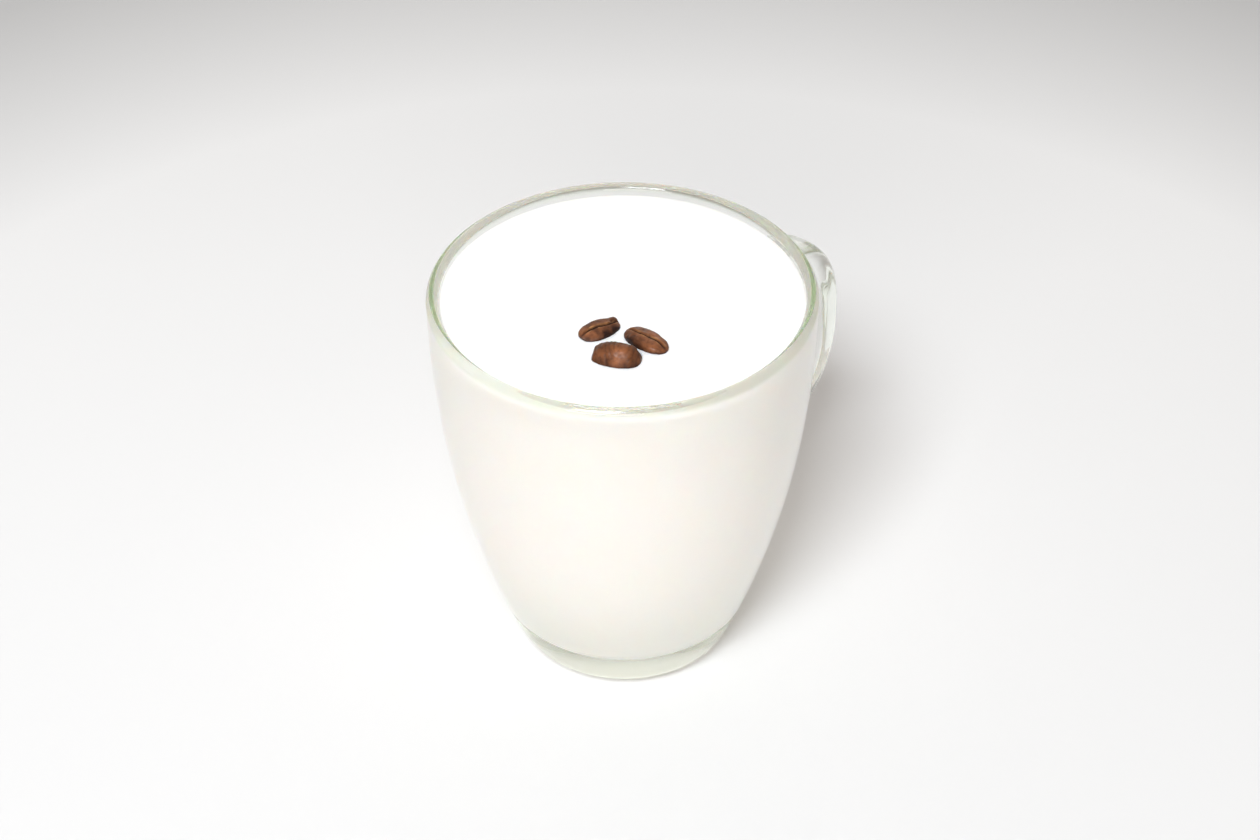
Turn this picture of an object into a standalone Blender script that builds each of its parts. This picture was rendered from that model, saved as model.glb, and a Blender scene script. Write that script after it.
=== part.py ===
"""A white mocha in its glass mug, with three roasted coffee beans on top.

Metres, +Z up. The origin is the centre of the mug's flat underside, and the handle points along +X.
"""
import math

import bmesh
import bpy
from mathutils import Euler, Matrix, Vector

MM = 0.001

# Glass mug
RIM_RADIUS = 42.5 * MM
MUG_HEIGHT = 95.5 * MM
RIM_WALL = 2.8 * MM
FOOT_RADIUS = 26.3 * MM
FOOT_TOP = 3.8 * MM
WALL_BELLY = 2.15

# Cavity of the mug
FLOOR_HEIGHT = 7.9 * MM
FLOOR_RADIUS = 14.0 * MM
CAVITY_TUCK = 1.8

# Handle: a rounded bar along a squared ellipse that starts and ends inside the wall
HANDLE_AXIS_RADIUS = 38.0 * MM
HANDLE_CENTRE_HEIGHT = 54.6 * MM
HANDLE_REACH = 67.0 * MM
HANDLE_HALF_HEIGHT = 25.2 * MM
HANDLE_SQUARENESS = 2.5
HANDLE_DEPTH = 7.5 * MM
HANDLE_WIDTH = 10.5 * MM
HANDLE_EDGE = 2.6
HANDLE_START = math.radians(-103)
HANDLE_END = math.radians(97)
ROOT_FLARE = 0.35
ROOT_FLARE_LENGTH = 4.0 * MM
ROOT_SINK = 1.4 * MM

# Drink
FILL_DROP = 1.8 * MM
MENISCUS_RISE = 0.3 * MM
MENISCUS_LENGTH = 0.8 * MM
MENISCUS_REACH = 3.0 * MM
GAP = 0.3 * MM

# Mesh fineness
TURN_STEPS = 64
WALL_STEPS = 12
FOOT_STEPS = 4
LIP_STEPS = 6
MENISCUS_STEPS = 4
HANDLE_STEPS = 28
HANDLE_SIDES = 16
BEAN_SIDES = 24
BEAN_RINGS = 12
SHARP_ANGLE = math.radians(40)
TANGENT_STEP = 0.01
MERGE_DISTANCE = 0.01 * MM

# Beans: place, heading (degrees about Z), lean (degrees about the bean's length), size and side up
BEANS = {
    "bean_left": {
        "place": (-12.6, -5.4), "heading": -12.0, "lean": 2.0, "fullness": 0.36, "sway": -0.16,
        "length": 9.5, "width": 5.7, "dome": 2.9, "flat": 1.3, "sunk": -0.2, "taper": 0.06, "crease_up": True,
    },
    "bean_right": {
        "place": (-8.5, -15.3), "heading": -88.0, "lean": -5.0, "fullness": 0.40, "sway": 0.16,
        "length": 11.0, "width": 6.1, "dome": 3.0, "flat": 1.4, "sunk": -0.3, "taper": 0.10, "crease_up": True,
    },
    "bean_front": {
        "place": (-16.7, -14.4), "heading": -57.0, "lean": 3.0, "fullness": 0.28, "sway": 0.16,
        "length": 10.6, "width": 7.2, "dome": 4.1, "flat": 1.3, "sunk": 0.6, "taper": -0.07, "crease_up": False,
    },
}
FLAT_FULLNESS = 0.55
CREASE_DEPTH = 0.65 * MM
CREASE_WIDTH = 0.34 * MM
CREASE_CROWDING = 0.7
CREASE_END_FADE = 4
SWAY_BAND = 3 * CREASE_WIDTH

LIP_HEIGHT = MUG_HEIGHT - RIM_WALL / 2
FOOT_LEAN = math.atan(WALL_BELLY * (RIM_RADIUS - FOOT_RADIUS) / (LIP_HEIGHT - FOOT_TOP))
FOOT_ROUND = FOOT_TOP / (1 - math.sin(FOOT_LEAN))
FILL_HEIGHT = MUG_HEIGHT - FILL_DROP


def clear_scene():
    for old in list(bpy.data.objects):
        bpy.data.objects.remove(old, do_unlink=True)


def make_material(name, color, roughness, transmission=0.0):
    material = bpy.data.materials.new(name)
    material.use_nodes = True
    shader = material.node_tree.nodes["Principled BSDF"]
    shader.inputs["Base Color"].default_value = (*color, 1.0)
    shader.inputs["Roughness"].default_value = roughness
    shader.inputs["Metallic"].default_value = 0.0
    shader.inputs["Transmission Weight"].default_value = transmission
    return material


def make_object(name, bm, material):
    """Turn a bmesh into a smooth-shaded object."""
    mesh = bpy.data.meshes.new(name)
    bm.to_mesh(mesh)
    bm.free()
    mesh.shade_smooth()
    mesh.set_sharp_from_angle(angle=SHARP_ANGLE)
    mesh.materials.append(material)
    obj = bpy.data.objects.new(name, mesh)
    bpy.context.scene.collection.objects.link(obj)
    return obj


def hide_cutter(obj):
    obj.hide_render = True
    obj.display_type = "WIRE"


def add_boolean(obj, operation, other):
    modifier = obj.modifiers.new(f"{operation.lower()}_{other.name}", "BOOLEAN")
    modifier.operation = operation
    modifier.solver = "EXACT"
    modifier.object = other


def swell(low, high, rise, tuck=1.0):
    """Radius at a share of the height: it widens from low and reaches high upright."""
    return low + (high - low) * (1 - (1 - rise) ** WALL_BELLY) ** (1 / tuck)


def outside_radius(height):
    rise = (height - FOOT_TOP) / (LIP_HEIGHT - FOOT_TOP)
    return swell(FOOT_RADIUS, RIM_RADIUS, rise)


def outside_points():
    """The outer wall from the top of the foot's rounding to the start of the lip."""
    points = []
    for step in range(WALL_STEPS + 1):
        height = FOOT_TOP + (LIP_HEIGHT - FOOT_TOP) * step / WALL_STEPS
        points.append((outside_radius(height), height))
    return points


def cavity_points(gap=0.0):
    """The cavity from its flat floor up to the start of the lip, drawn in by a gap.

    Its steps crowd towards the floor, where it curves most.
    """
    points = []
    low = FLOOR_HEIGHT + gap
    for step in range(WALL_STEPS + 1):
        rise = (step / WALL_STEPS) ** 2
        radius = swell(FLOOR_RADIUS, RIM_RADIUS - RIM_WALL, rise, CAVITY_TUCK) - gap
        points.append((radius, low + (LIP_HEIGHT - low) * rise))
    return points


def arc_points(centre, radius, start, end, steps):
    """Points along an arc in the (radius, height) plane, angles in degrees, both ends included."""
    points = []
    for step in range(steps + 1):
        angle = math.radians(start + (end - start) * step / steps)
        points.append((centre[0] + radius * math.cos(angle), centre[1] + radius * math.sin(angle)))
    return points


def turn_profile(points):
    """Turn a (radius, height) profile, which starts and ends on the axis, into a closed solid."""
    bm = bmesh.new()
    verts = [bm.verts.new((radius, 0, height)) for radius, height in points]
    edges = [bm.edges.new(pair) for pair in zip(verts, verts[1:])]
    bmesh.ops.spin(bm, geom=verts + edges, axis=(0, 0, 1), cent=(0, 0, 0),
                   angle=math.tau, steps=TURN_STEPS, use_merge=True)
    bmesh.ops.remove_doubles(bm, verts=bm.verts[:], dist=MERGE_DISTANCE)
    bmesh.ops.recalc_face_normals(bm, faces=bm.faces[:])
    return bm


def make_mug_shell(glass):
    """The turned mug: flat underside, rounded foot, curved wall, round lip and bowl-shaped cavity."""
    foot_centre = (FOOT_RADIUS - FOOT_ROUND * math.cos(FOOT_LEAN), FOOT_ROUND)
    foot = arc_points(foot_centre, FOOT_ROUND, -90, -math.degrees(FOOT_LEAN), FOOT_STEPS)
    lip = arc_points((RIM_RADIUS - RIM_WALL / 2, LIP_HEIGHT), RIM_WALL / 2, 0, 180, LIP_STEPS)
    profile = [(0, 0)] + foot + outside_points()[1:] + lip[1:-1]
    profile += list(reversed(cavity_points())) + [(0, FLOOR_HEIGHT)]
    return make_object("glass_mug", turn_profile(profile), glass)


def make_wall_core(glass):
    """A plain solid out to just inside the wall's outer face, which trims the handle's ends."""
    wall = [(radius - ROOT_SINK, height) for radius, height in outside_points()]
    core = make_object("wall_core", turn_profile([(0, FOOT_TOP)] + wall + [(0, LIP_HEIGHT)]), glass)
    hide_cutter(core)
    return core


def handle_point(angle):
    """The centre line of the handle at an angle about the middle of its squared ellipse."""
    across = math.cos(angle)
    up = math.sin(angle)
    power = HANDLE_SQUARENESS
    fullness = (abs(across) ** power + abs(up) ** power) ** (-1 / power)
    reach = HANDLE_REACH - HANDLE_AXIS_RADIUS
    return Vector((HANDLE_AXIS_RADIUS + reach * fullness * across, 0,
                   HANDLE_CENTRE_HEIGHT + HANDLE_HALF_HEIGHT * fullness * up))


def rounded(value):
    """Push a share of the unit circle outwards, towards a square with rounded corners."""
    return math.copysign(abs(value) ** (2 / HANDLE_EDGE), value)


def add_handle_ring(bm, angle):
    """One rounded section of the handle, square to its centre line and flared near the wall."""
    centre = handle_point(angle)
    along = (handle_point(angle + TANGENT_STEP) - handle_point(angle - TANGENT_STEP)).normalized()
    sideways = Vector((0, 1, 0))
    outwards = sideways.cross(along)
    distance = max(0.0, centre.x - outside_radius(centre.z))
    flare = 1 + ROOT_FLARE * math.exp(-(distance / ROOT_FLARE_LENGTH) ** 2)
    ring = bmesh.ops.create_circle(bm, cap_ends=False, segments=HANDLE_SIDES, radius=1)["verts"]
    for vert in ring:
        depth = rounded(vert.co.x) * HANDLE_DEPTH / 2
        width = rounded(vert.co.y) * HANDLE_WIDTH / 2
        vert.co = centre + (outwards * depth + sideways * width) * flare
    return list({edge for vert in ring for edge in vert.link_edges})


def make_handle(glass, core):
    """The handle's bar, swept round its curve and trimmed inside the mug's wall."""
    bm = bmesh.new()
    rings = []
    for step in range(HANDLE_STEPS + 1):
        angle = HANDLE_START + (HANDLE_END - HANDLE_START) * step / HANDLE_STEPS
        rings.append(add_handle_ring(bm, angle))
    for low, high in zip(rings, rings[1:]):
        bmesh.ops.bridge_loops(bm, edges=low + high)
    for ring in (rings[0], rings[-1]):
        bmesh.ops.contextual_create(bm, geom=ring)
    bmesh.ops.recalc_face_normals(bm, faces=bm.faces[:])
    handle = make_object("handle_bar", bm, glass)
    add_boolean(handle, "DIFFERENCE", core)
    hide_cutter(handle)
    return handle


def make_glass_mug():
    glass = make_material("clear_glass", (0.88, 0.93, 0.88), 0.03, transmission=1.0)
    mug = make_mug_shell(glass)
    add_boolean(mug, "UNION", make_handle(glass, make_wall_core(glass)))


def bean_surface(point, bean, swelling):
    """Move a point of the unit sphere to the bean, which lies along X with its creased side up."""
    along, across, up = point
    thickness = max(0.0, 1 - along * along) ** bean["fullness"] * (1 - bean["taper"] * along)
    angle = math.atan2(across, up)
    angle -= CREASE_CROWDING * math.sin(angle)
    side = math.sin(angle) * (bean["width"] / 2 * MM + swelling) * thickness
    if math.cos(angle) >= 0:
        rise = bean["flat"] * MM + swelling
        height = rise * math.cos(angle) ** FLAT_FULLNESS * thickness
    else:
        height = (bean["dome"] * MM + swelling) * math.cos(angle) * thickness
    return Vector((along * (bean["length"] / 2 * MM + swelling), side, height))


def cut_crease(co, bean):
    """Lower a point of the creased side into the groove, which sways along the bean's length."""
    half = bean["length"] / 2 * MM
    groove = bean["sway"] * MM * math.sin(math.pi * co.x / half)
    fade = max(0.0, 1 - (co.x / half) ** CREASE_END_FADE)
    co.z -= CREASE_DEPTH * fade * math.exp(-((co.y - groove) / CREASE_WIDTH) ** 2)
    co.y += groove * fade * math.exp(-(co.y / SWAY_BAND) ** 2)


def bean_matrix(bean):
    """Where a bean lies: its side up, its lean and its heading, and how deep its middle sits."""
    flip = 0 if bean["crease_up"] else math.pi
    lift = -bean["sunk"] * MM
    place = Vector((bean["place"][0] * MM, bean["place"][1] * MM, FILL_HEIGHT + lift))
    turn = Euler((flip + math.radians(bean["lean"]), 0, math.radians(bean["heading"])))
    return Matrix.Translation(place) @ turn.to_matrix().to_4x4()


def make_bean(name, bean, material, swelling=0.0):
    """A bean, or with a swelling the plain hollow that it presses into the drink."""
    bm = bmesh.new()
    bmesh.ops.create_uvsphere(bm, u_segments=BEAN_SIDES, v_segments=BEAN_RINGS, radius=1)
    pole_to_length = Matrix.Rotation(math.pi / 2, 3, "Y")
    for vert in bm.verts:
        vert.co = bean_surface(pole_to_length @ vert.co, bean, swelling)
        if not swelling and vert.co.z > 0:
            cut_crease(vert.co, bean)
    obj = make_object(name, bm, material)
    obj.matrix_world = bean_matrix(bean)
    return obj


def make_drink():
    """The drink up to its fill height, with a meniscus at the wall and a hollow under each bean.

    The meniscus has its steps crowded towards the wall.
    """
    milk = make_material("white_drink", (0.92, 0.90, 0.86), 0.35)
    profile = [(0, FLOOR_HEIGHT + GAP)]
    profile += [point for point in cavity_points(GAP) if point[1] < FILL_HEIGHT - MENISCUS_RISE]
    edge = RIM_RADIUS - RIM_WALL - GAP
    for step in range(MENISCUS_STEPS + 1):
        away = MENISCUS_REACH * (step / MENISCUS_STEPS) ** 2
        rise = MENISCUS_RISE * math.exp(-away / MENISCUS_LENGTH)
        profile.append((edge - away, FILL_HEIGHT + rise))
    profile.append((0, FILL_HEIGHT))
    drink = make_object("white_mocha", turn_profile(profile), milk)
    for name, bean in BEANS.items():
        hollow = make_bean(f"hollow_of_{name}", bean, milk, swelling=GAP)
        hide_cutter(hollow)
        add_boolean(drink, "DIFFERENCE", hollow)


def make_beans():
    roast = make_material("roasted_bean", (0.22, 0.105, 0.055), 0.42)
    for name, bean in BEANS.items():
        make_bean(name, bean, roast)


clear_scene()
make_glass_mug()
make_drink()
make_beans()
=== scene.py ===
"""A white mocha in its glass mug: the looks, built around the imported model.

Metres, +Z up. The origin is the centre of the mug's flat underside, and the handle points along +X.
"""

import math

import bmesh
import bpy
from bpy.props import FloatProperty, FloatVectorProperty, PointerProperty
from mathutils import Euler, Matrix, Vector, noise


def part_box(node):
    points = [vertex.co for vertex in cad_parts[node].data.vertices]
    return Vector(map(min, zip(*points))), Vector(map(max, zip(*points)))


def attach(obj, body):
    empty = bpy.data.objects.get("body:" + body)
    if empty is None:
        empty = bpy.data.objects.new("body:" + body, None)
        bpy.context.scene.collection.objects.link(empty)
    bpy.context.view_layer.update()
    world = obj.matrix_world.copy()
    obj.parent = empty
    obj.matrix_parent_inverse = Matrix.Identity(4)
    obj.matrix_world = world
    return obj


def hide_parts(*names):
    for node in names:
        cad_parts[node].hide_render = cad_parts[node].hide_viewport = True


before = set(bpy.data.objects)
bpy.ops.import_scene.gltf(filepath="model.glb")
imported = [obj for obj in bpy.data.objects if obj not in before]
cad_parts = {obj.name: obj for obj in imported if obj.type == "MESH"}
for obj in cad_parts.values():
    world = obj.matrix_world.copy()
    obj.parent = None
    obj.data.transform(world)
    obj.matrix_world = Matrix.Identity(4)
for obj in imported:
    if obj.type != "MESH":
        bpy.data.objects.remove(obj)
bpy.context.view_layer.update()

bl_info = {
    "name": "White mocha in a glass mug",
    "version": (1, 0, 0),
    "blender": (4, 5, 0),
    "location": "View3D > Sidebar > Mocha",
    "description": "Builds a glass mug of white coffee drink with roasted beans and its stage",
    "category": "Add Mesh",
}

MM = 0.001
MUG_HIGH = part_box("glass_mug")[1]
BODY = "root"

# Form of the mug, as the solids have it
FOOT_TOP = 3.8 * MM
WALL_BELLY = 2.15
FLOOR_RADIUS = 14.0 * MM
CAVITY_TUCK = 1.8
HANDLE_AXIS_RADIUS = 38.0 * MM
HANDLE_CENTRE_HEIGHT = 54.6 * MM
HANDLE_HALF_HEIGHT = 25.2 * MM
HANDLE_SQUARENESS = 2.5
HANDLE_EDGE = 2.6
HANDLE_START = math.radians(-103)
HANDLE_END = math.radians(97)
ROOT_FLARE = 0.35
ROOT_FLARE_LENGTH = 4.0 * MM
ROOT_SINK = 1.4 * MM
ROOT_FILLET = 1.3 * MM
ROOT_FILLET_LENGTH = 1.2 * MM
TANGENT_STEP = 0.01

# Form of the drink's edge, and how much smaller than a bean its hollow in the drink is
MENISCUS_LENGTH = 0.8 * MM
MENISCUS_REACH = 3.0 * MM
BEAN_SINK = 0.05 * MM

# Beans, in millimetres and degrees. Heading is the turn about Z, lean the turn about the bean's own length,
# and sunk how deep its middle lies. A smaller fullness gives blunter ends, taper makes one end slimmer, and
# sway is how far the crease swings. The rest is in the bean's own axes, X along it and Z out of its creased
# side: the point that the ripples run round, a direction and its distance for a facet, and x, y, z, radius
# and strength for a dent, which is also given painted shade, or for a patch that is partly the bean's own
# colour
# and partly painted light: above zero a lighter patch or painted highlight, below zero painted shade.
BEANS = {
    "bean_left": {
        "place": (-12.6, -5.4), "heading": -12.0, "lean": 2.0, "sunk": -0.2, "crease_up": True,
        "length": 9.5, "width": 5.7, "dome": 2.9, "flat": 1.3,
        "fullness": 0.36, "taper": 0.06, "sway": -0.16, "ripples": (0.5, -0.5),
        "dents": [
            (3.5, 0.30, 0.9, 0.55, 0.50), (4.2, 1.0, 0.5, 0.90, -0.50), (-2.6, 0.9, 1.2, 0.5, 0.15),
            (-0.5, -0.95, 1.3, 0.9, -0.12), (2.3, -1.6, 0.6, 0.5, 0.14), (0.9, 1.5, 1.0, 0.6, 0.12),
        ],
        "facets": [(-0.30, -0.45, 0.85, 1.95), (0.55, -0.60, 0.58, 3.55)],
        "tone_light_and_shade": [
            (-3.6, -0.3, 0.9, 1.2, 0.55), (-2.0, -1.3, 0.8, 1.1, 0.40), (0.2, 1.0, 1.1, 1.3, 0.20),
            (2.7, -1.9, 0.3, 1.4, -0.75), (0.0, -2.5, -0.4, 1.7, -0.80), (-0.5, 2.2, 0.4, 1.6, -0.45),
        ],
    },
    "bean_right": {
        "place": (-8.5, -15.3), "heading": -88.0, "lean": -5.0, "sunk": -0.3, "crease_up": True,
        "length": 11.0, "width": 6.1, "dome": 3.0, "flat": 1.4,
        "fullness": 0.40, "taper": 0.10, "sway": 0.16, "ripples": (-1.0, 0.5),
        "dents": [
            (-3.2, -2.3, -0.3, 0.35, 0.22), (-2.4, -2.5, -0.9, 0.35, 0.22), (-3.9, -1.6, 0.2, 0.4, 0.18),
            (0.9, 0.25, 1.3, 0.55, 0.30), (-0.6, -1.4, 1.1, 0.8, -0.14), (2.6, -1.5, 0.9, 0.9, -0.14),
            (4.6, -0.3, 0.6, 0.6, 0.16), (-2.0, 1.2, 1.2, 0.6, 0.12),
        ],
        "facets": [(-0.50, -0.45, 0.74, 3.10)],
        "tone_light_and_shade": [
            (-0.3, 1.4, 1.1, 1.2, 0.40), (1.8, 1.1, 1.1, 1.1, 0.60), (0.8, -0.7, 1.3, 1.0, 0.45),
            (-2.6, -2.3, 0.0, 1.4, -0.75), (-0.7, -2.4, 0.0, 1.5, -0.60), (3.2, -1.8, 0.4, 1.2, 0.25),
        ],
    },
    "bean_front": {
        "place": (-16.7, -14.4), "heading": -57.0, "lean": 3.0, "sunk": 0.6, "crease_up": False,
        "length": 10.6, "width": 7.2, "dome": 4.1, "flat": 1.3,
        "fullness": 0.28, "taper": -0.07, "sway": 0.16, "ripples": (1.2, 0.3),
        "dents": [
            (-2.6, 1.2, -3.2, 0.8, 0.20), (3.4, 1.4, -2.2, 0.6, 0.20), (-1.4, 2.8, -2.0, 0.8, 0.15),
            (0.4, 1.6, -3.4, 1.2, -0.10), (-3.9, 0.2, -2.4, 0.5, 0.16),
        ],
        "facets": [(-0.96, 0.05, -0.28, 5.10), (0.66, 0.70, -0.28, 4.60), (-0.42, 0.80, -0.43, 3.95),
                   (0.10, -0.75, -0.65, 3.45), (0.72, -0.60, -0.35, 4.45)],
        "tone_light_and_shade": [
            (0.9, 1.3, -3.3, 1.7, 0.90), (0.6, 2.9, -1.8, 1.2, 0.70), (-2.8, 1.8, -2.8, 1.3, 0.35),
            (4.3, -0.3, -2.2, 1.5, -0.40), (-0.6, -2.6, -2.6, 2.0, -0.35), (3.2, 2.6, -1.0, 1.0, -0.30),
        ],
    },
}

# Relief of the beans. The ripples' length and start are in millimetres, and noise in steps per millimetre.
POLE_TO_LENGTH = Matrix.Rotation(math.pi / 2, 3, "Y")
FLAT_FULLNESS = 0.55
CREASE_WIDTH = 0.34 * MM
CREASE_CROWDING = 0.7
CREASE_END_FADE = 4
SWAY_BAND = 3 * CREASE_WIDTH
CREASE_LIP_AWAY = 0.50 * MM
CREASE_LIP_WIDTH = 0.20 * MM
CREASE_LIP_MEAN = 0.7
CREASE_LIP_SPREAD = 0.9
CREASE_LIP_NOISE = 0.8
CREASE_LIPS_APART = 3
RIPPLE_LENGTH = 0.95
RIPPLE_SQUASH = 0.8
RIPPLE_START = 1.2
RIPPLE_SWERVE = 2.2
RIPPLE_SWERVE_NOISE = 0.5
RIPPLE_MEAN = 0.65
RIPPLE_SPREAD = 0.7
RIPPLE_SPREAD_NOISE = 0.35
# Painted shade in the ripples' valleys
RIPPLE_SHADE = 0.3
BROAD_LUMP_NOISE = 0.45
FINE_LUMP_NOISE = 1.3
FINE_LUMP_SHARE = 0.35
# Painted shade in the lumps' dips and in the dents
LUMP_SHADE = 0.35
DENT_SHADE = 2
LENGTHWISE_RELIEF = 0.3
SEED_SPREAD = 10
FACET_STRENGTH = 0.75
# Painted light on the creased side, partly its lighter roast
FACE_GLOW = 0.45
FACE_GLOW_LEVEL = 0.5
# Painted shade low on the flanks, near the drink
FLANK_SHADE = 0.75
FLANK_SHADE_HEIGHT = 0.8 * MM

# Looks: how far down the lip's painted shade of grey-green begins and how soon it is full, the foam's depth,
# what cloudiness leaves of a shade, the glass where it is clear and smeared, and where the floor's painted
# shade runs
LIP_SHADE_DROP = 2.0 * MM
LIP_SHADE_LENGTH = 1.0 * MM
FOAM_DEPTH = 2.5 * MM
CLOUD_SHADE = 0.985
CLEAR_GLASS = (1.0, 1.0, 1.0)
SMEARED_GLASS = (0.985, 0.995, 0.98)
NEAR_SHADE_START = -100 * MM
NEAR_SHADE_LENGTH = 240 * MM
FAR_SHADE_START = 240 * MM
FAR_SHADE_LENGTH = 120 * MM

# The Mix node's colour sockets, which share their names with its other sockets
MIX_FIRST = 6
MIX_SECOND = 7
MIX_RESULT = 2

# Mesh fineness
TURN_STEPS = 288
FOOT_STEPS = 14
WALL_STEPS = 44
LIP_STEPS = 40
CAVITY_STEPS = 44
MENISCUS_STEPS = 10
TOP_STEPS = 24
HANDLE_STEPS = 80
HANDLE_SIDES = 40
BEAN_SIDES = 144
BEAN_RINGS = 136
HOLLOW_SIDES = 80
HOLLOW_RINGS = 56
SHARP_ANGLE = math.radians(40)
MERGE_DISTANCE = 0.005 * MM

# Camera, solved from the rim and the foot in the photograph
IMAGE_WIDTH = 1260
FOCAL_PIXELS = 2410.0
SENSOR_WIDTH = 36.0
CAMERA_AZIMUTH = math.radians(46.0)
CAMERA_PITCH = 0.681742284
CAMERA_ROLL = -0.00650343378
CAMERA_PLACE = (1.45587007 * MM, -421.623969 * MM, 401.157539 * MM)

# Key light, from the shadow in the photograph: turned from the camera's right, raised, away, and its side
KEY_AZIMUTH = math.radians(254.0)
KEY_ELEVATION = math.radians(53.5)
KEY_DISTANCE = 1.2
KEY_SIZE = 0.38

# Fill light: its place from the mug along the camera's right, the camera's heading and up, and its side
FILL_PLACE = (-0.4, -2.4, 0.5)
FILL_SIZE = 1.8

# Stage
FLOOR_REACH = 3.0
FLOOR_SIDES = 96
FLOOR_DROP = 0.1 * MM
LIGHT_BOUNCES = 24
DIFFUSE_BOUNCES = 10


class MugSettings(bpy.types.PropertyGroup):
    height: FloatProperty(
        name="Height", description="From the underside to the top of the lip",
        default=MUG_HIGH.z, unit="LENGTH")
    rim_radius: FloatProperty(
        name="Rim radius", description="Outer radius at the lip",
        default=MUG_HIGH.y, unit="LENGTH")
    rim_wall: FloatProperty(
        name="Rim wall", description="Thickness of the glass at the lip",
        default=2.8 * MM, unit="LENGTH")
    foot_radius: FloatProperty(
        name="Foot radius", description="Outer radius just above the foot's rounding",
        default=26.3 * MM, unit="LENGTH")
    floor_height: FloatProperty(
        name="Floor height", description="Thickness of the glass under the drink",
        default=7.9 * MM, unit="LENGTH")
    handle_reach: FloatProperty(
        name="Handle reach", description="From the mug's axis to the handle's outermost centre line",
        default=67.0 * MM, unit="LENGTH")
    handle_depth: FloatProperty(
        name="Handle depth", description="Size of the handle's section away from the mug",
        default=7.5 * MM, unit="LENGTH")
    handle_width: FloatProperty(
        name="Handle width", description="Size of the handle's section from side to side",
        default=10.5 * MM, unit="LENGTH")
    tint: FloatVectorProperty(
        name="Glass tint", description="Colour that deep glass turns light to",
        default=(0.81, 0.87, 0.76), min=0.0, max=1.0, subtype="COLOR")
    tint_density: FloatProperty(
        name="Tint density", description="How fast the glass takes on its tint, per metre",
        default=15.0, min=0.0)
    # Painted shade: a darker grey-green on the lip for the dark ring that the rim shows
    lip_painted_shade: FloatVectorProperty(
        name="Lip tint", description="Colour that the glass has at the lip, where light runs round it",
        default=(0.84, 0.895, 0.805), min=0.0, max=1.0, subtype="COLOR")


class DrinkSettings(bpy.types.PropertyGroup):
    fill_drop: FloatProperty(
        name="Fill drop", description="From the lip down to the drink",
        default=1.8 * MM, unit="LENGTH")
    meniscus_rise: FloatProperty(
        name="Meniscus rise",
        description="How far the drink's edge climbs the glass; below zero it rolls down to it",
        default=-0.7 * MM, unit="LENGTH")
    wall_overlap: FloatProperty(
        name="Wall overlap", description="How far the drink reaches into the glass, so that no air gap shows",
        default=0.12 * MM, unit="LENGTH")
    milk: FloatVectorProperty(
        name="Milk", description="Colour of the drink against the glass",
        default=(0.980, 0.950, 0.940), min=0.0, max=1.0, subtype="COLOR")
    foam: FloatVectorProperty(
        name="Foam", description="Colour of the foam on top",
        default=(0.98, 0.97, 0.955), min=0.0, max=1.0, subtype="COLOR")


class BeanSettings(bpy.types.PropertyGroup):
    crease_depth: FloatProperty(
        name="Crease depth", description="Depth of the groove along the flat side",
        default=0.65 * MM, unit="LENGTH")
    lip_height: FloatProperty(
        name="Lip height", description="How far the edges of the groove stand up",
        default=0.10 * MM, unit="LENGTH")
    ripple_height: FloatProperty(
        name="Ripple height", description="Height of the ripples that roasting leaves on the back",
        default=0.055 * MM, unit="LENGTH")
    lump_height: FloatProperty(
        name="Lump height", description="Height of the broad unevenness all over",
        default=0.13 * MM, unit="LENGTH")
    # Partly the lighter roast of the creased side, partly painted light and painted highlights
    face: FloatVectorProperty(
        name="Face", description="Colour of the parts that roasted lightest",
        default=(0.30, 0.106, 0.042), min=0.0, max=1.0, subtype="COLOR")
    back: FloatVectorProperty(
        name="Back", description="Colour of the rounded back",
        default=(0.122, 0.040, 0.013), min=0.0, max=1.0, subtype="COLOR")
    # Dark flecks of the roast, and painted shade in the hollows, the crease and low on the flanks
    dark_roast_and_shade: FloatVectorProperty(
        name="Dark roast", description="Colour of the hollows and the flanks",
        default=(0.022, 0.0075, 0.004), min=0.0, max=1.0, subtype="COLOR")
    chaff: FloatVectorProperty(
        name="Chaff", description="Colour of the dry skin left along the crease",
        default=(0.36, 0.17, 0.065), min=0.0, max=1.0, subtype="COLOR")


class StageSettings(bpy.types.PropertyGroup):
    floor: FloatVectorProperty(
        name="Floor", description="Colour of the pale floor",
        default=(0.815, 0.81, 0.81), min=0.0, max=1.0, subtype="COLOR")
    # Painted shade: how much the floor is darkened in front of the mug and far from it, where the light falls
    # off
    near_shade: FloatProperty(
        name="Near shade", description="How much of its brightness the floor keeps in front of the mug",
        default=0.91, min=0.0, max=1.0)
    far_shade: FloatProperty(
        name="Far shade", description="How much of its brightness the floor keeps far from the mug",
        default=0.66, min=0.0, max=1.0)
    key_power: FloatProperty(
        name="Key power", description="Power of the main soft light, in watts",
        default=12.3, min=0.0)
    key_color: FloatVectorProperty(
        name="Key colour", description="Colour of the main soft light",
        default=(0.95, 1.0, 1.04), min=0.0, max=2.0, subtype="COLOR")
    fill_power: FloatProperty(
        name="Fill power", description="Power of the wide light from the front, in watts",
        default=36.0, min=0.0)
    horizon: FloatProperty(
        name="Horizon light", description="Brightness of the surroundings at the horizon",
        default=0.45, min=0.0)
    zenith: FloatProperty(
        name="Zenith light", description="Brightness of the surroundings overhead",
        default=0.20, min=0.0)
    backdrop: FloatProperty(
        name="Backdrop light", description="Brightness that the surroundings gain behind the mug",
        default=0.90, min=0.0)
    surroundings: FloatVectorProperty(
        name="Surroundings", description="Colour of the light that comes from all sides",
        default=(1.0, 0.95, 0.90), min=0.0, max=1.0, subtype="COLOR")


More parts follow.
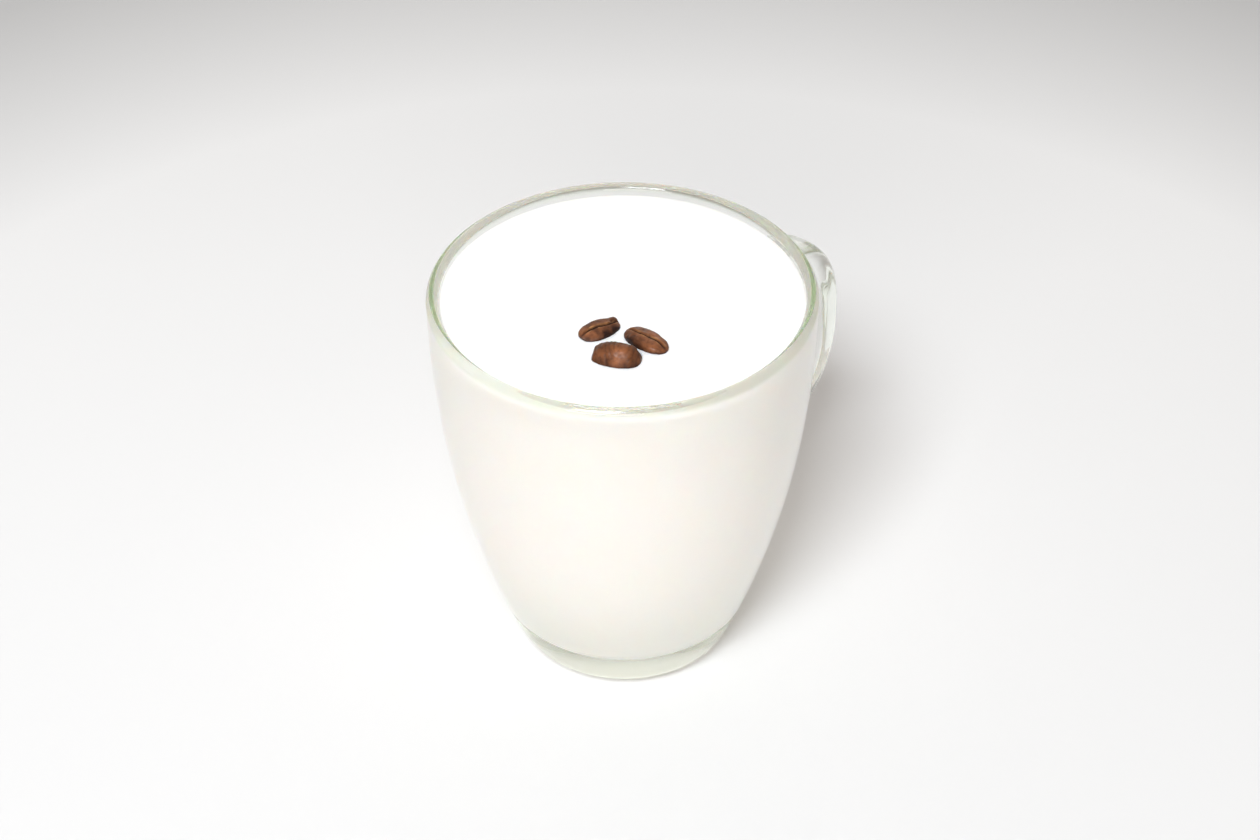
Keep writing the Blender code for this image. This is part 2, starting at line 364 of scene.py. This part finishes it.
class Maths:
    """A shader socket on which Python's operators add Math nodes."""

    def __init__(self, shader, socket):
        self.shader = shader
        self.socket = socket

    def combine(self, operation, first, second):
        """The result of a Math node, fed with two numbers or sockets."""
        made = self.shader.node("ShaderNodeMath", {"operation": operation}, {0: first, 1: second})
        return Maths(self.shader, made.outputs[0])

    def __add__(self, other):
        return self.combine("ADD", self, other)

    def __radd__(self, other):
        return self.combine("ADD", other, self)

    def __sub__(self, other):
        return self.combine("SUBTRACT", self, other)

    def __rsub__(self, other):
        return self.combine("SUBTRACT", other, self)

    def __mul__(self, other):
        return self.combine("MULTIPLY", self, other)

    def __rmul__(self, other):
        return self.combine("MULTIPLY", other, self)

    def __truediv__(self, other):
        return self.combine("DIVIDE", self, other)

    def __pow__(self, other):
        return self.combine("POWER", self, other)

    def clamped(self):
        """The value held between 0 and 1."""
        return self.combine("MAXIMUM", self.combine("MINIMUM", self, 1.0), 0.0)


class Shader:
    """One material's or world's node tree, with short ways to add its nodes."""

    def __init__(self, tree):
        self.tree = tree
        tree.nodes.clear()

    def node(self, kind, settings=None, sockets=None):
        """Add a node, with its settings first and then the values or links of its sockets."""
        made = self.tree.nodes.new(kind)
        for name, value in (settings or {}).items():
            if name == "stops":
                self.set_stops(made.color_ramp, value)
            else:
                setattr(made, name, value)
        for key, value in (sockets or {}).items():
            self.feed(made.inputs[key], value)
        return made

    def set_stops(self, ramp, stops):
        """Give a colour ramp its stops, each a place from 0 to 1 and a shade of grey."""
        while len(ramp.elements) < len(stops):
            ramp.elements.new(1.0)
        for element, (place, shade) in zip(ramp.elements, stops):
            element.position = place
            element.color = (shade, shade, shade, 1.0)

    def feed(self, socket, value):
        """Link a socket to another, or set its value."""
        if isinstance(value, Maths):
            value = value.socket
        if isinstance(value, bpy.types.NodeSocket):
            self.tree.links.new(value, socket)
        elif socket.type == "RGBA" and len(value) == 3:
            socket.default_value = (*value, 1.0)
        else:
            socket.default_value = value

    def place(self):
        """Object coordinates, which are world coordinates here, in millimetres."""
        coordinates = self.node("ShaderNodeTexCoord").outputs["Object"]
        return self.scaled(coordinates, 1 / MM)

    def scaled(self, vector, factor):
        """A vector or colour times a factor."""
        return self.node("ShaderNodeVectorMath", {"operation": "SCALE"},
                         {"Vector": vector, "Scale": factor}).outputs["Vector"]

    def parts(self, vector):
        """The three parts of a vector."""
        split = self.node("ShaderNodeSeparateXYZ", sockets={"Vector": vector})
        return [Maths(self, output) for output in split.outputs]

    def noise(self, vector, scale, detail=2.0, distortion=0.0):
        made = self.node("ShaderNodeTexNoise", {"noise_dimensions": "3D"},
                         {"Vector": vector, "Scale": scale, "Detail": detail, "Distortion": distortion})
        return Maths(self, made.outputs["Fac"])

    def ramp(self, value, stops):
        """A value read off between stops."""
        made = self.node("ShaderNodeValToRGB", {"stops": stops}, {"Fac": value})
        return Maths(self, made.outputs["Color"])

    def mix(self, factor, first, second):
        """A colour between two colours."""
        made = self.node("ShaderNodeMix", {"data_type": "RGBA"})
        self.feed(made.inputs["Factor"], factor)
        self.feed(made.inputs[MIX_FIRST], first)
        self.feed(made.inputs[MIX_SECOND], second)
        return made.outputs[MIX_RESULT]

    def progress(self, value, start, length):
        """How far a value in millimetres has come along a stretch that is given in metres, from 0 to 1."""
        return ((value - start / MM) / (length / MM)).clamped()

    def bump(self, height, distance, strength=1.0):
        made = self.node("ShaderNodeBump", sockets={
            "Height": height, "Distance": distance, "Strength": strength})
        return made.outputs["Normal"]

    def surface(self, sockets):
        """The Principled shader and the output that it feeds."""
        principled = self.node("ShaderNodeBsdfPrincipled", sockets=sockets)
        return self.node("ShaderNodeOutputMaterial", sockets={"Surface": principled.outputs["BSDF"]})


def new_shader(name):
    material = bpy.data.materials.new(name)
    material.use_nodes = True
    return material, Shader(material.node_tree)


def glass_material(mug):
    """Clear pressed glass: faintly wavy, green in its depth, with painted grey-green shade at its lip and
    fine smears.
    """
    material, shader = new_shader("mug_glass")
    place = shader.place()
    waves = shader.noise(place, scale=0.045, detail=1.0)
    smears = shader.noise(place, scale=0.30, detail=4.0, distortion=0.8)
    # Painted shade: a darker grey-green over the top of the lip, for the dark ring that the rim shows
    lip = shader.progress(shader.parts(place)[2], mug.height - LIP_SHADE_DROP, LIP_SHADE_LENGTH)
    clear = shader.mix(smears, CLEAR_GLASS, SMEARED_GLASS)
    output = shader.surface({
        "Base Color": shader.mix(lip, clear, tuple(mug.lip_painted_shade)),
        "Roughness": shader.ramp(smears, [(0.55, 0.0), (0.80, 0.025)]),
        "IOR": 1.5,
        "Transmission Weight": 1.0,
        "Normal": shader.bump(waves, distance=0.35 * MM, strength=0.5),
    })
    absorption = shader.node("ShaderNodeVolumeAbsorption", sockets={
        "Color": tuple(mug.tint), "Density": mug.tint_density})
    shader.feed(output.inputs["Volume"], absorption.outputs["Volume"])
    return material


def drink_material(drink, surface_height):
    """Milky coffee, cream against the glass and whiter in the fine foam on top."""
    material, shader = new_shader("white_mocha_milk")
    place = shader.place()
    foam = shader.progress(shader.parts(place)[2], surface_height - FOAM_DEPTH, FOAM_DEPTH)
    cloud = shader.noise(place, scale=0.05, detail=3.0)
    cells = shader.node("ShaderNodeTexVoronoi", {"feature": "SMOOTH_F1"}, {
        "Vector": place, "Scale": 2.6, "Randomness": 1.0})
    bubbles = Maths(shader, cells.outputs["Distance"]) * foam
    milk = shader.mix(cloud, tuple(drink.milk), tuple(CLOUD_SHADE * part for part in drink.milk))
    shader.surface({
        "Base Color": shader.mix(foam, milk, tuple(drink.foam)),
        "Roughness": shader.ramp(cloud, [(0.3, 0.34), (0.7, 0.44)]),
        "Subsurface Weight": 0.35,
        "Subsurface Radius": (1.0, 0.75, 0.55),
        "Subsurface Scale": 3.0 * MM,
        "IOR": 1.35,
        "Normal": shader.bump(bubbles, distance=0.03 * MM, strength=0.4),
    })
    return material


def bean_material(beans):
    """Roasted bean: mottled brown, painted shade in its hollows, crease and low flanks, painted light and
    highlights on lighter patches, pale dry skin along the crease, an oily sheen.
    """
    material, shader = new_shader("roasted_bean_skin")
    place = shader.place()
    attribute = shader.node("ShaderNodeAttribute", {"attribute_name": "bean_relief"})
    # The shares: painted shade, the dry skin on the crease's lips, and painted light that is partly the
    # creased side's lighter roast
    hollow, skin, glow = shader.parts(attribute.outputs["Vector"])
    mottle = shader.noise(place, scale=0.55, detail=5.0, distortion=0.6)
    grain = shader.noise(place, scale=5.0, detail=3.0)
    flecks = shader.ramp(shader.noise(place, scale=1.6, detail=6.0), [(0.50, 0.0), (0.66, 1.0)])
    oil = shader.ramp(shader.noise(place, scale=0.9, detail=3.0), [(0.42, 0.0), (0.62, 1.0)])
    # Painted shade in the hollows, the crease and low on the flanks, with the random mottle
    shade = (hollow * 0.85 + (1 - mottle) * 1.3 - 0.56).clamped()
    # Painted light and highlights, partly the lighter roast of the creased side
    color = shader.mix(glow, tuple(beans.back), tuple(beans.face))
    color = shader.mix(shade, color, tuple(beans.dark_roast_and_shade))
    color = shader.mix((flecks * 0.30).clamped(), color, tuple(beans.dark_roast_and_shade))
    patches = shader.ramp(shader.noise(place, scale=0.8, detail=4.0), [(0.40, 0.12), (0.60, 1.0)])
    color = shader.mix((skin * patches).clamped(), color, tuple(beans.chaff))
    shader.surface({
        "Base Color": color,
        "Roughness": (0.44 + 0.20 * grain + 0.12 * skin - 0.12 * oil).clamped(),
        "Coat Weight": (0.26 * oil - 0.30 * hollow + 0.06).clamped(),
        "Coat Roughness": 0.26,
        "Specular IOR Level": 0.20,
        "IOR": 1.45,
        "Normal": shader.bump(grain * 0.4 + mottle, distance=0.06 * MM, strength=0.6),
    })
    return material


def floor_material(stage):
    """Matt pale paper with the faintest cloudiness, and painted shade that darkens it a little in front of
    and far from the mug.
    """
    material, shader = new_shader("pale_floor")
    place = shader.place()
    across, along, _ = shader.parts(place)
    ahead = from_camera(0, 1, 0)
    behind = across * ahead.x + along * ahead.y
    away = (across * across + along * along) ** 0.5
    cloud = shader.noise(place, scale=0.006, detail=2.0)
    fibre = shader.noise(place, scale=1.4, detail=3.0)
    # Painted shade where the light falls off, in front of the mug and far from it
    near = shader.ramp(shader.progress(behind, NEAR_SHADE_START, NEAR_SHADE_LENGTH),
                       [(0.0, stage.near_shade), (1.0, 1.0)])
    far = shader.ramp(shader.progress(away, FAR_SHADE_START, FAR_SHADE_LENGTH),
                      [(0.0, 1.0), (1.0, stage.far_shade)])
    paper = shader.mix(cloud, tuple(stage.floor), tuple(CLOUD_SHADE * part for part in stage.floor))
    shader.surface({
        "Base Color": shader.scaled(paper, near * far),
        "Roughness": 0.75,
        "Normal": shader.bump(fibre, distance=0.01 * MM, strength=0.3),
    })
    return material


def make_object(name, bm, material):
    """Turn a bmesh into an object at the origin."""
    mesh = bpy.data.meshes.new(name)
    bm.to_mesh(mesh)
    bm.free()
    mesh.materials.append(material)
    obj = bpy.data.objects.new(name, mesh)
    bpy.context.scene.collection.objects.link(obj)
    return obj


def apply_boolean(obj, operation, other):
    """Cut or join one object with another for good, and remove the other."""
    modifier = obj.modifiers.new("boolean", "BOOLEAN")
    modifier.operation = operation
    modifier.solver = "EXACT"
    modifier.object = other
    finished = bpy.data.meshes.new_from_object(obj.evaluated_get(bpy.context.evaluated_depsgraph_get()))
    obj.modifiers.clear()
    obj.data = finished
    bpy.data.objects.remove(other, do_unlink=True)


def finish_piece(obj, node):
    """Smooth a finished piece and set it in the frame in place of its node."""
    obj.data.shade_smooth()
    obj.data.set_sharp_from_angle(angle=SHARP_ANGLE)
    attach(obj, BODY)
    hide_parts(node)


def arc_points(centre, radius, start, end, steps):
    """Points along an arc in the (radius, height) plane, both ends included."""
    points = []
    for step in range(steps + 1):
        angle = start + (end - start) * step / steps
        points.append((centre[0] + radius * math.cos(angle), centre[1] + radius * math.sin(angle)))
    return points


def turn_profile(points, steps=TURN_STEPS):
    """Turn a (radius, height) profile, which starts and ends on the axis, into a closed solid."""
    bm = bmesh.new()
    verts = [bm.verts.new((radius, 0, height)) for radius, height in points]
    edges = [bm.edges.new(pair) for pair in zip(verts, verts[1:])]
    bmesh.ops.spin(bm, geom=verts + edges, axis=(0, 0, 1), cent=(0, 0, 0),
                   angle=math.tau, steps=steps, use_merge=True)
    bmesh.ops.remove_doubles(bm, verts=bm.verts[:], dist=MERGE_DISTANCE)
    bmesh.ops.recalc_face_normals(bm, faces=bm.faces[:])
    return bm


class MugForm:
    """The mug's curves, worked out from its settings."""

    def __init__(self, mug):
        self.mug = mug
        self.lip_height = mug.height - mug.rim_wall / 2
        spread = mug.rim_radius - mug.foot_radius
        self.foot_lean = math.atan(WALL_BELLY * spread / (self.lip_height - FOOT_TOP))
        self.foot_round = FOOT_TOP / (1 - math.sin(self.foot_lean))

    def swell(self, low, high, rise, tuck=1.0):
        """Radius at a share of the height: it widens from low and reaches high upright."""
        return low + (high - low) * (1 - (1 - rise) ** WALL_BELLY) ** (1 / tuck)

    def outside_radius(self, height):
        rise = min(1.0, max(0.0, (height - FOOT_TOP) / (self.lip_height - FOOT_TOP)))
        return self.swell(self.mug.foot_radius, self.mug.rim_radius, rise)

    def outside_points(self):
        points = []
        for step in range(WALL_STEPS + 1):
            height = FOOT_TOP + (self.lip_height - FOOT_TOP) * step / WALL_STEPS
            points.append((self.outside_radius(height), height))
        return points

    def cavity_points(self, overlap=0.0):
        """The cavity from its flat floor up to the start of the lip, pushed out by an overlap."""
        mug = self.mug
        points = []
        low = mug.floor_height - overlap
        for step in range(CAVITY_STEPS + 1):
            rise = (step / CAVITY_STEPS) ** 2
            radius = self.swell(FLOOR_RADIUS, mug.rim_radius - mug.rim_wall, rise, CAVITY_TUCK)
            points.append((radius + overlap, low + (self.lip_height - low) * rise))
        return points

    def shell_profile(self):
        mug = self.mug
        foot_centre = (mug.foot_radius - self.foot_round * math.cos(self.foot_lean), self.foot_round)
        foot = arc_points(foot_centre, self.foot_round, -math.pi / 2, -self.foot_lean, FOOT_STEPS)
        lip_centre = (mug.rim_radius - mug.rim_wall / 2, self.lip_height)
        lip = arc_points(lip_centre, mug.rim_wall / 2, 0, math.pi, LIP_STEPS)
        profile = [(0, 0)] + foot + self.outside_points()[1:] + lip[1:-1]
        return profile + list(reversed(self.cavity_points())) + [(0, mug.floor_height)]

    def core_profile(self):
        wall = [(radius - ROOT_SINK, height) for radius, height in self.outside_points()]
        return [(0, FOOT_TOP)] + wall + [(0, self.lip_height)]

    def handle_point(self, angle):
        """The centre line of the handle at an angle about the middle of its squared ellipse."""
        across = math.cos(angle)
        up = math.sin(angle)
        power = HANDLE_SQUARENESS
        fullness = (abs(across) ** power + abs(up) ** power) ** (-1 / power)
        reach = self.mug.handle_reach - HANDLE_AXIS_RADIUS
        return Vector((HANDLE_AXIS_RADIUS + reach * fullness * across, 0,
                       HANDLE_CENTRE_HEIGHT + HANDLE_HALF_HEIGHT * fullness * up))


def rounded(value):
    """Push a share of the unit circle outwards, towards a square with rounded corners."""
    return math.copysign(abs(value) ** (2 / HANDLE_EDGE), value)


def add_handle_ring(bm, form, angle):
    """One rounded section of the handle, flared near the wall and filleted where it meets it."""
    centre = form.handle_point(angle)
    along = form.handle_point(angle + TANGENT_STEP) - form.handle_point(angle - TANGENT_STEP)
    sideways = Vector((0, 1, 0))
    outwards = sideways.cross(along.normalized())
    distance = max(0.0, centre.x - form.outside_radius(centre.z))
    flare = 1 + ROOT_FLARE * math.exp(-(distance / ROOT_FLARE_LENGTH) ** 2)
    ring = bmesh.ops.create_circle(bm, cap_ends=False, segments=HANDLE_SIDES, radius=1)["verts"]
    for vert in ring:
        depth = rounded(vert.co.x) * form.mug.handle_depth / 2
        width = rounded(vert.co.y) * form.mug.handle_width / 2
        offset = (outwards * depth + sideways * width) * flare
        place = centre + offset
        to_wall = max(0.0, math.hypot(place.x, place.y) - form.outside_radius(place.z))
        fillet = ROOT_FILLET * math.exp(-to_wall / ROOT_FILLET_LENGTH)
        vert.co = place + offset.normalized() * fillet
    return list({edge for vert in ring for edge in vert.link_edges})


def make_handle(form, material):
    """The handle's bar, swept round its curve and trimmed inside the mug's wall."""
    bm = bmesh.new()
    rings = []
    for step in range(HANDLE_STEPS + 1):
        angle = HANDLE_START + (HANDLE_END - HANDLE_START) * step / HANDLE_STEPS
        rings.append(add_handle_ring(bm, form, angle))
    for low, high in zip(rings, rings[1:]):
        bmesh.ops.bridge_loops(bm, edges=low + high)
    for ring in (rings[0], rings[-1]):
        bmesh.ops.contextual_create(bm, geom=ring)
    bmesh.ops.recalc_face_normals(bm, faces=bm.faces[:])
    handle = make_object("handle_bar", bm, material)
    core = make_object("wall_core", turn_profile(form.core_profile()), material)
    apply_boolean(handle, "DIFFERENCE", core)
    return handle


class MOCHA_OT_glass_mug(bpy.types.Operator):
    """Add the glass mug with its handle in place of the plain solid"""
    bl_idname = "mocha.glass_mug"
    bl_label = "Glass mug"

    def execute(self, context):
        mug = context.scene.mocha_mug
        form = MugForm(mug)
        material = glass_material(mug)
        shell = make_object("clear_glass_mug", turn_profile(form.shell_profile()), material)
        apply_boolean(shell, "UNION", make_handle(form, material))
        finish_piece(shell, "glass_mug")
        return {"FINISHED"}


def bean_surface(point, bean, swelling):
    """Move a point of the unit sphere to the bean, which lies along X with its creased side up."""
    along, across, up = point
    thickness = max(0.0, 1 - along * along) ** bean["fullness"] * (1 - bean["taper"] * along)
    angle = math.atan2(across, up)
    angle -= CREASE_CROWDING * math.sin(angle)
    side = math.sin(angle) * (bean["width"] / 2 * MM + swelling) * thickness
    if math.cos(angle) >= 0:
        rise = bean["flat"] * MM + swelling
        height = rise * math.cos(angle) ** FLAT_FULLNESS * thickness
    else:
        height = (bean["dome"] * MM + swelling) * math.cos(angle) * thickness
    return Vector((along * (bean["length"] / 2 * MM + swelling), side, height))


def cut_crease(co, bean, settings):
    """Cut the swaying groove and raise its lips, and say how deep in it a point is, for painted shade, and
    how near a lip.
    """
    half = bean["length"] / 2 * MM
    groove = bean["sway"] * MM * math.sin(math.pi * co.x / half)
    fade = max(0.0, 1 - (co.x / half) ** CREASE_END_FADE)
    inside = fade * math.exp(-((co.y - groove) / CREASE_WIDTH) ** 2)
    side = math.copysign(CREASE_LIPS_APART, co.y)
    unevenness = noise.noise(Vector((co.x / MM * CREASE_LIP_NOISE, bean["width"], side)))
    lip = fade * math.exp(-((abs(co.y - groove) - CREASE_LIP_AWAY) / CREASE_LIP_WIDTH) ** 2)
    lip *= CREASE_LIP_MEAN + CREASE_LIP_SPREAD * unevenness
    co.z += settings.lip_height * lip - settings.crease_depth * inside
    co.y += groove * fade * math.exp(-(co.y / SWAY_BAND) ** 2)
    return inside, max(0.0, lip)


def flatten(co, bean):
    """Push a point of the bean in to its broad facets."""
    for *direction, away in bean["facets"]:
        direction = Vector(direction).normalized()
        co -= direction * max(0.0, co.dot(direction) - away * MM) * FACET_STRENGTH


def lump_share(place, seed):
    """The unevenness at a point, broad and fine together, as a share of the lumps' height."""
    broad = noise.noise(place * BROAD_LUMP_NOISE + seed)
    return broad + FINE_LUMP_SHARE * noise.noise(place * FINE_LUMP_NOISE + seed)


def ripple_share(place, bean, seed):
    """The ripples at a point of the bean's back, as a share of their height."""
    along, across = bean["ripples"]
    away = math.hypot(place.x - along, (place.y - across) * RIPPLE_SQUASH)
    on_back = min(1.0, max(0.0, -place.z)) * min(1.0, away / RIPPLE_START)
    swerve = RIPPLE_SWERVE * noise.noise(place * RIPPLE_SWERVE_NOISE + seed)
    ripple = on_back * math.sin(math.tau * away / RIPPLE_LENGTH + swerve)
    return ripple * (RIPPLE_MEAN + RIPPLE_SPREAD * noise.noise(place * RIPPLE_SPREAD_NOISE - seed))


def roughen(co, bean, settings):
    """Give one point of a bean its facets, lumps, ripples and dents, and say how much painted shade its
    hollows get.
    """
    flatten(co, bean)
    place = co / MM
    outward = Vector((LENGTHWISE_RELIEF * co.x, co.y, co.z)).normalized()
    seed = Vector((bean["length"], bean["width"], 0)) * SEED_SPREAD
    lumps = lump_share(place, seed)
    ripple = ripple_share(place, bean, seed)
    hollow = max(0.0, -RIPPLE_SHADE * ripple) + max(0.0, -LUMP_SHADE * lumps)
    rise = settings.lump_height * lumps + settings.ripple_height * ripple
    for *centre, radius, depth in bean["dents"]:
        share = math.exp(-((place - Vector(centre)).length / radius) ** 2)
        rise -= depth * MM * share
        hollow += share * min(1.0, max(0.0, depth) * DENT_SHADE)
    co += outward * rise
    return hollow


def bean_matrix(bean, surface_height):
    """Where a bean lies: its side up, its lean and its heading, and how deep its middle sits."""
    flip = 0 if bean["crease_up"] else math.pi
    x, y = bean["place"]
    place = Vector((x * MM, y * MM, surface_height - bean["sunk"] * MM))
    turn = Euler((flip + math.radians(bean["lean"]), 0, math.radians(bean["heading"])))
    return Matrix.Translation(place) @ turn.to_matrix().to_4x4()


def bean_form(bean, sides, rings, swelling=0.0):
    """The plain form of a bean, not yet in its place."""
    bm = bmesh.new()
    bmesh.ops.create_uvsphere(bm, u_segments=sides, v_segments=rings, radius=1)
    for vert in bm.verts:
        vert.co = bean_surface(POLE_TO_LENGTH @ vert.co, bean, swelling)
    return bm


def make_bean(name, bean, settings, material, surface_height):
    """A bean with its crease, lips, ripples and dents, which it also keeps as shares for its colours: painted
    shade, dry skin and painted light.
    """
    bm = bean_form(bean, BEAN_SIDES, BEAN_RINGS)
    relief = bm.verts.layers.float_vector.new("bean_relief")
    for vert in bm.verts:
        place = vert.co.copy()
        # Painted light on the creased side and at the lighter patches and highlights; painted shade at the
        # darker patches
        glow = FACE_GLOW * min(1.0, max(0.0, FACE_GLOW_LEVEL + place.z / MM))
        dimness = 0.0
        for *centre, radius, tone_and_light in bean["tone_light_and_shade"]:
            share = math.exp(-((place / MM - Vector(centre)).length / radius) ** 2)
            glow += max(0.0, tone_and_light) * share
            dimness += max(0.0, -tone_and_light) * share
        inside, lip = cut_crease(place, bean, settings) if place.z > 0 else (0.0, 0.0)
        hollow = roughen(place, bean, settings)
        vert.co = place
        vert[relief] = (inside + hollow + dimness, lip, min(1.0, glow))
    bmesh.ops.transform(bm, matrix=bean_matrix(bean, surface_height), verts=bm.verts[:])
    # Painted shade low on the flanks, where they near the drink
    for vert in bm.verts:
        vert[relief].x += FLANK_SHADE * math.exp(-max(0.0, vert.co.z - surface_height) / FLANK_SHADE_HEIGHT)
    return make_object(name, bm, material)


def make_hollow(name, bean, material, surface_height):
    """The plain form of a bean, a little smaller, with which its hollow is cut into the drink."""
    bm = bean_form(bean, HOLLOW_SIDES, HOLLOW_RINGS, -BEAN_SINK)
    bmesh.ops.transform(bm, matrix=bean_matrix(bean, surface_height), verts=bm.verts[:])
    return make_object(name, bm, material)


class MOCHA_OT_beans(bpy.types.Operator):
    """Add the roasted coffee beans in place of their plain solids"""
    bl_idname = "mocha.beans"
    bl_label = "Coffee beans"

    def execute(self, context):
        scene = context.scene
        surface_height = scene.mocha_mug.height - scene.mocha_drink.fill_drop
        material = bean_material(scene.mocha_beans)
        for name, bean in BEANS.items():
            piece = make_bean(f"roasted_{name}", bean, scene.mocha_beans, material, surface_height)
            finish_piece(piece, name)
        return {"FINISHED"}


def drink_profile(mug, drink, surface_height):
    """The drink's outline: up along the glass, over its edge and in to the axis."""
    wall = MugForm(mug).cavity_points(drink.wall_overlap)
    profile = [(0, mug.floor_height - drink.wall_overlap)]
    profile += [point for point in wall if point[1] < surface_height + drink.meniscus_rise]
    edge = mug.rim_radius - mug.rim_wall + drink.wall_overlap
    for step in range(MENISCUS_STEPS + 1):
        away = MENISCUS_REACH * (step / MENISCUS_STEPS) ** 2
        rise = drink.meniscus_rise * math.exp(-away / MENISCUS_LENGTH)
        profile.append((edge - away, surface_height + rise))
    flat = edge - MENISCUS_REACH
    return profile + [(flat * (1 - step / TOP_STEPS), surface_height) for step in range(1, TOP_STEPS + 1)]


class MOCHA_OT_drink(bpy.types.Operator):
    """Add the drink in place of its plain solid, reaching just into the glass"""
    bl_idname = "mocha.drink"
    bl_label = "White mocha"

    def execute(self, context):
        scene = context.scene
        mug = scene.mocha_mug
        drink = scene.mocha_drink
        surface_height = mug.height - drink.fill_drop
        material = drink_material(drink, surface_height)
        profile = drink_profile(mug, drink, surface_height)
        piece = make_object("milky_drink", turn_profile(profile), material)
        for name, bean in BEANS.items():
            apply_boolean(piece, "DIFFERENCE", make_hollow(f"hollow_{name}", bean, material, surface_height))
        finish_piece(piece, "white_mocha")
        return {"FINISHED"}


def from_camera(across, ahead, up):
    """A place or direction in the mug's frame, given along the camera's right, its heading and up."""
    return Vector((across * math.cos(CAMERA_AZIMUTH) + ahead * math.sin(CAMERA_AZIMUTH),
                   ahead * math.cos(CAMERA_AZIMUTH) - across * math.sin(CAMERA_AZIMUTH), up))


def add_camera():
    """The camera as it was solved from the photograph."""
    data = bpy.data.cameras.new("camera")
    data.sensor_width = SENSOR_WIDTH
    data.lens = FOCAL_PIXELS * SENSOR_WIDTH / IMAGE_WIDTH
    camera = bpy.data.objects.new("camera", data)
    bpy.context.scene.collection.objects.link(camera)
    right = from_camera(1, 0, 0)
    ahead = from_camera(0, math.cos(CAMERA_PITCH), -math.sin(CAMERA_PITCH))
    turn = Matrix((right, right.cross(ahead), -ahead)).transposed() @ Matrix.Rotation(CAMERA_ROLL, 3, "Z")
    camera.matrix_world = Matrix.Translation(from_camera(*CAMERA_PLACE)) @ turn.to_4x4()
    bpy.context.scene.camera = camera


def add_soft_light(name, place, size, power, color):
    """A square soft light that faces the middle of the mug."""
    data = bpy.data.lights.new(name, "AREA")
    data.shape = "SQUARE"
    data.size = size
    data.energy = power
    data.color = color
    light = bpy.data.objects.new(name, data)
    bpy.context.scene.collection.objects.link(light)
    target = Vector((0, 0, MUG_HIGH.z / 2))
    light.location = place
    light.rotation_euler = (target - place).to_track_quat("-Z", "Y").to_euler()


def add_surroundings(stage):
    """Light from all sides: brightest low down and behind the mug, as from a pale backdrop."""
    world = bpy.data.worlds.new("studio")
    bpy.context.scene.world = world
    world.use_nodes = True
    shader = Shader(world.node_tree)
    direction = shader.node("ShaderNodeTexCoord").outputs["Generated"]
    across, along, up = shader.parts(direction)
    ahead = from_camera(0, 1, 0)
    behind = across * ahead.x + along * ahead.y
    light = (stage.horizon + (stage.zenith - stage.horizon) * up.clamped()
             + stage.backdrop * behind.clamped())
    background = shader.node("ShaderNodeBackground", sockets={
        "Color": tuple(stage.surroundings), "Strength": light})
    shader.node("ShaderNodeOutputWorld", sockets={"Surface": background.outputs["Background"]})


class MOCHA_OT_stage(bpy.types.Operator):
    """Add the pale floor, the soft lights, the surroundings and the camera"""
    bl_idname = "mocha.stage"
    bl_label = "Stage"

    def execute(self, context):
        stage = context.scene.mocha_stage
        bm = bmesh.new()
        bmesh.ops.create_circle(bm, cap_ends=True, segments=FLOOR_SIDES, radius=FLOOR_REACH)
        bmesh.ops.translate(bm, verts=bm.verts[:], vec=(0, 0, -FLOOR_DROP))
        floor = make_object("floor", bm, floor_material(stage))
        key_place = from_camera(math.cos(KEY_ELEVATION) * math.cos(KEY_AZIMUTH),
                                math.cos(KEY_ELEVATION) * math.sin(KEY_AZIMUTH),
                                math.sin(KEY_ELEVATION)) * KEY_DISTANCE
        add_soft_light("key_light", key_place, KEY_SIZE, stage.key_power, stage.key_color)
        fill_place = from_camera(*FILL_PLACE)
        add_soft_light("fill_light", fill_place, FILL_SIZE, stage.fill_power, stage.surroundings)
        add_surroundings(stage)
        context.scene.view_settings.view_transform = "Standard"
        cycles = context.scene.cycles
        cycles.max_bounces = LIGHT_BOUNCES
        cycles.glossy_bounces = LIGHT_BOUNCES
        cycles.transmission_bounces = LIGHT_BOUNCES
        cycles.diffuse_bounces = DIFFUSE_BOUNCES
        cycles.blur_glossy = 0.0
        add_camera()
        return {"FINISHED"}


class MOCHA_PT_panel(bpy.types.Panel):
    """The pieces, with the sizes and colours they are made from"""
    bl_idname = "MOCHA_PT_panel"
    bl_label = "White mocha"
    bl_space_type = "VIEW_3D"
    bl_region_type = "UI"
    bl_category = "Mocha"

    def draw(self, context):
        for operator, group in STEPS:
            box = self.layout.box()
            box.operator(operator.bl_idname)
            settings = getattr(context.scene, group)
            for name in settings.__annotations__:
                box.prop(settings, name)


STEPS = (
    (MOCHA_OT_glass_mug, "mocha_mug"),
    (MOCHA_OT_drink, "mocha_drink"),
    (MOCHA_OT_beans, "mocha_beans"),
    (MOCHA_OT_stage, "mocha_stage"),
)
GROUPS = {
    "mocha_mug": MugSettings,
    "mocha_drink": DrinkSettings,
    "mocha_beans": BeanSettings,
    "mocha_stage": StageSettings,
}


def register():
    for name, group in GROUPS.items():
        bpy.utils.register_class(group)
        setattr(bpy.types.Scene, name, PointerProperty(type=group))
    for operator, _ in STEPS:
        bpy.utils.register_class(operator)
    bpy.utils.register_class(MOCHA_PT_panel)


def unregister():
    bpy.utils.unregister_class(MOCHA_PT_panel)
    for operator, _ in STEPS:
        bpy.utils.unregister_class(operator)
    for name, group in GROUPS.items():
        delattr(bpy.types.Scene, name)
        bpy.utils.unregister_class(group)


def main():
    register()
    for operator, _ in STEPS:
        section, action = operator.bl_idname.split(".")
        getattr(getattr(bpy.ops, section), action)()


if __name__ == "__main__":
    main()
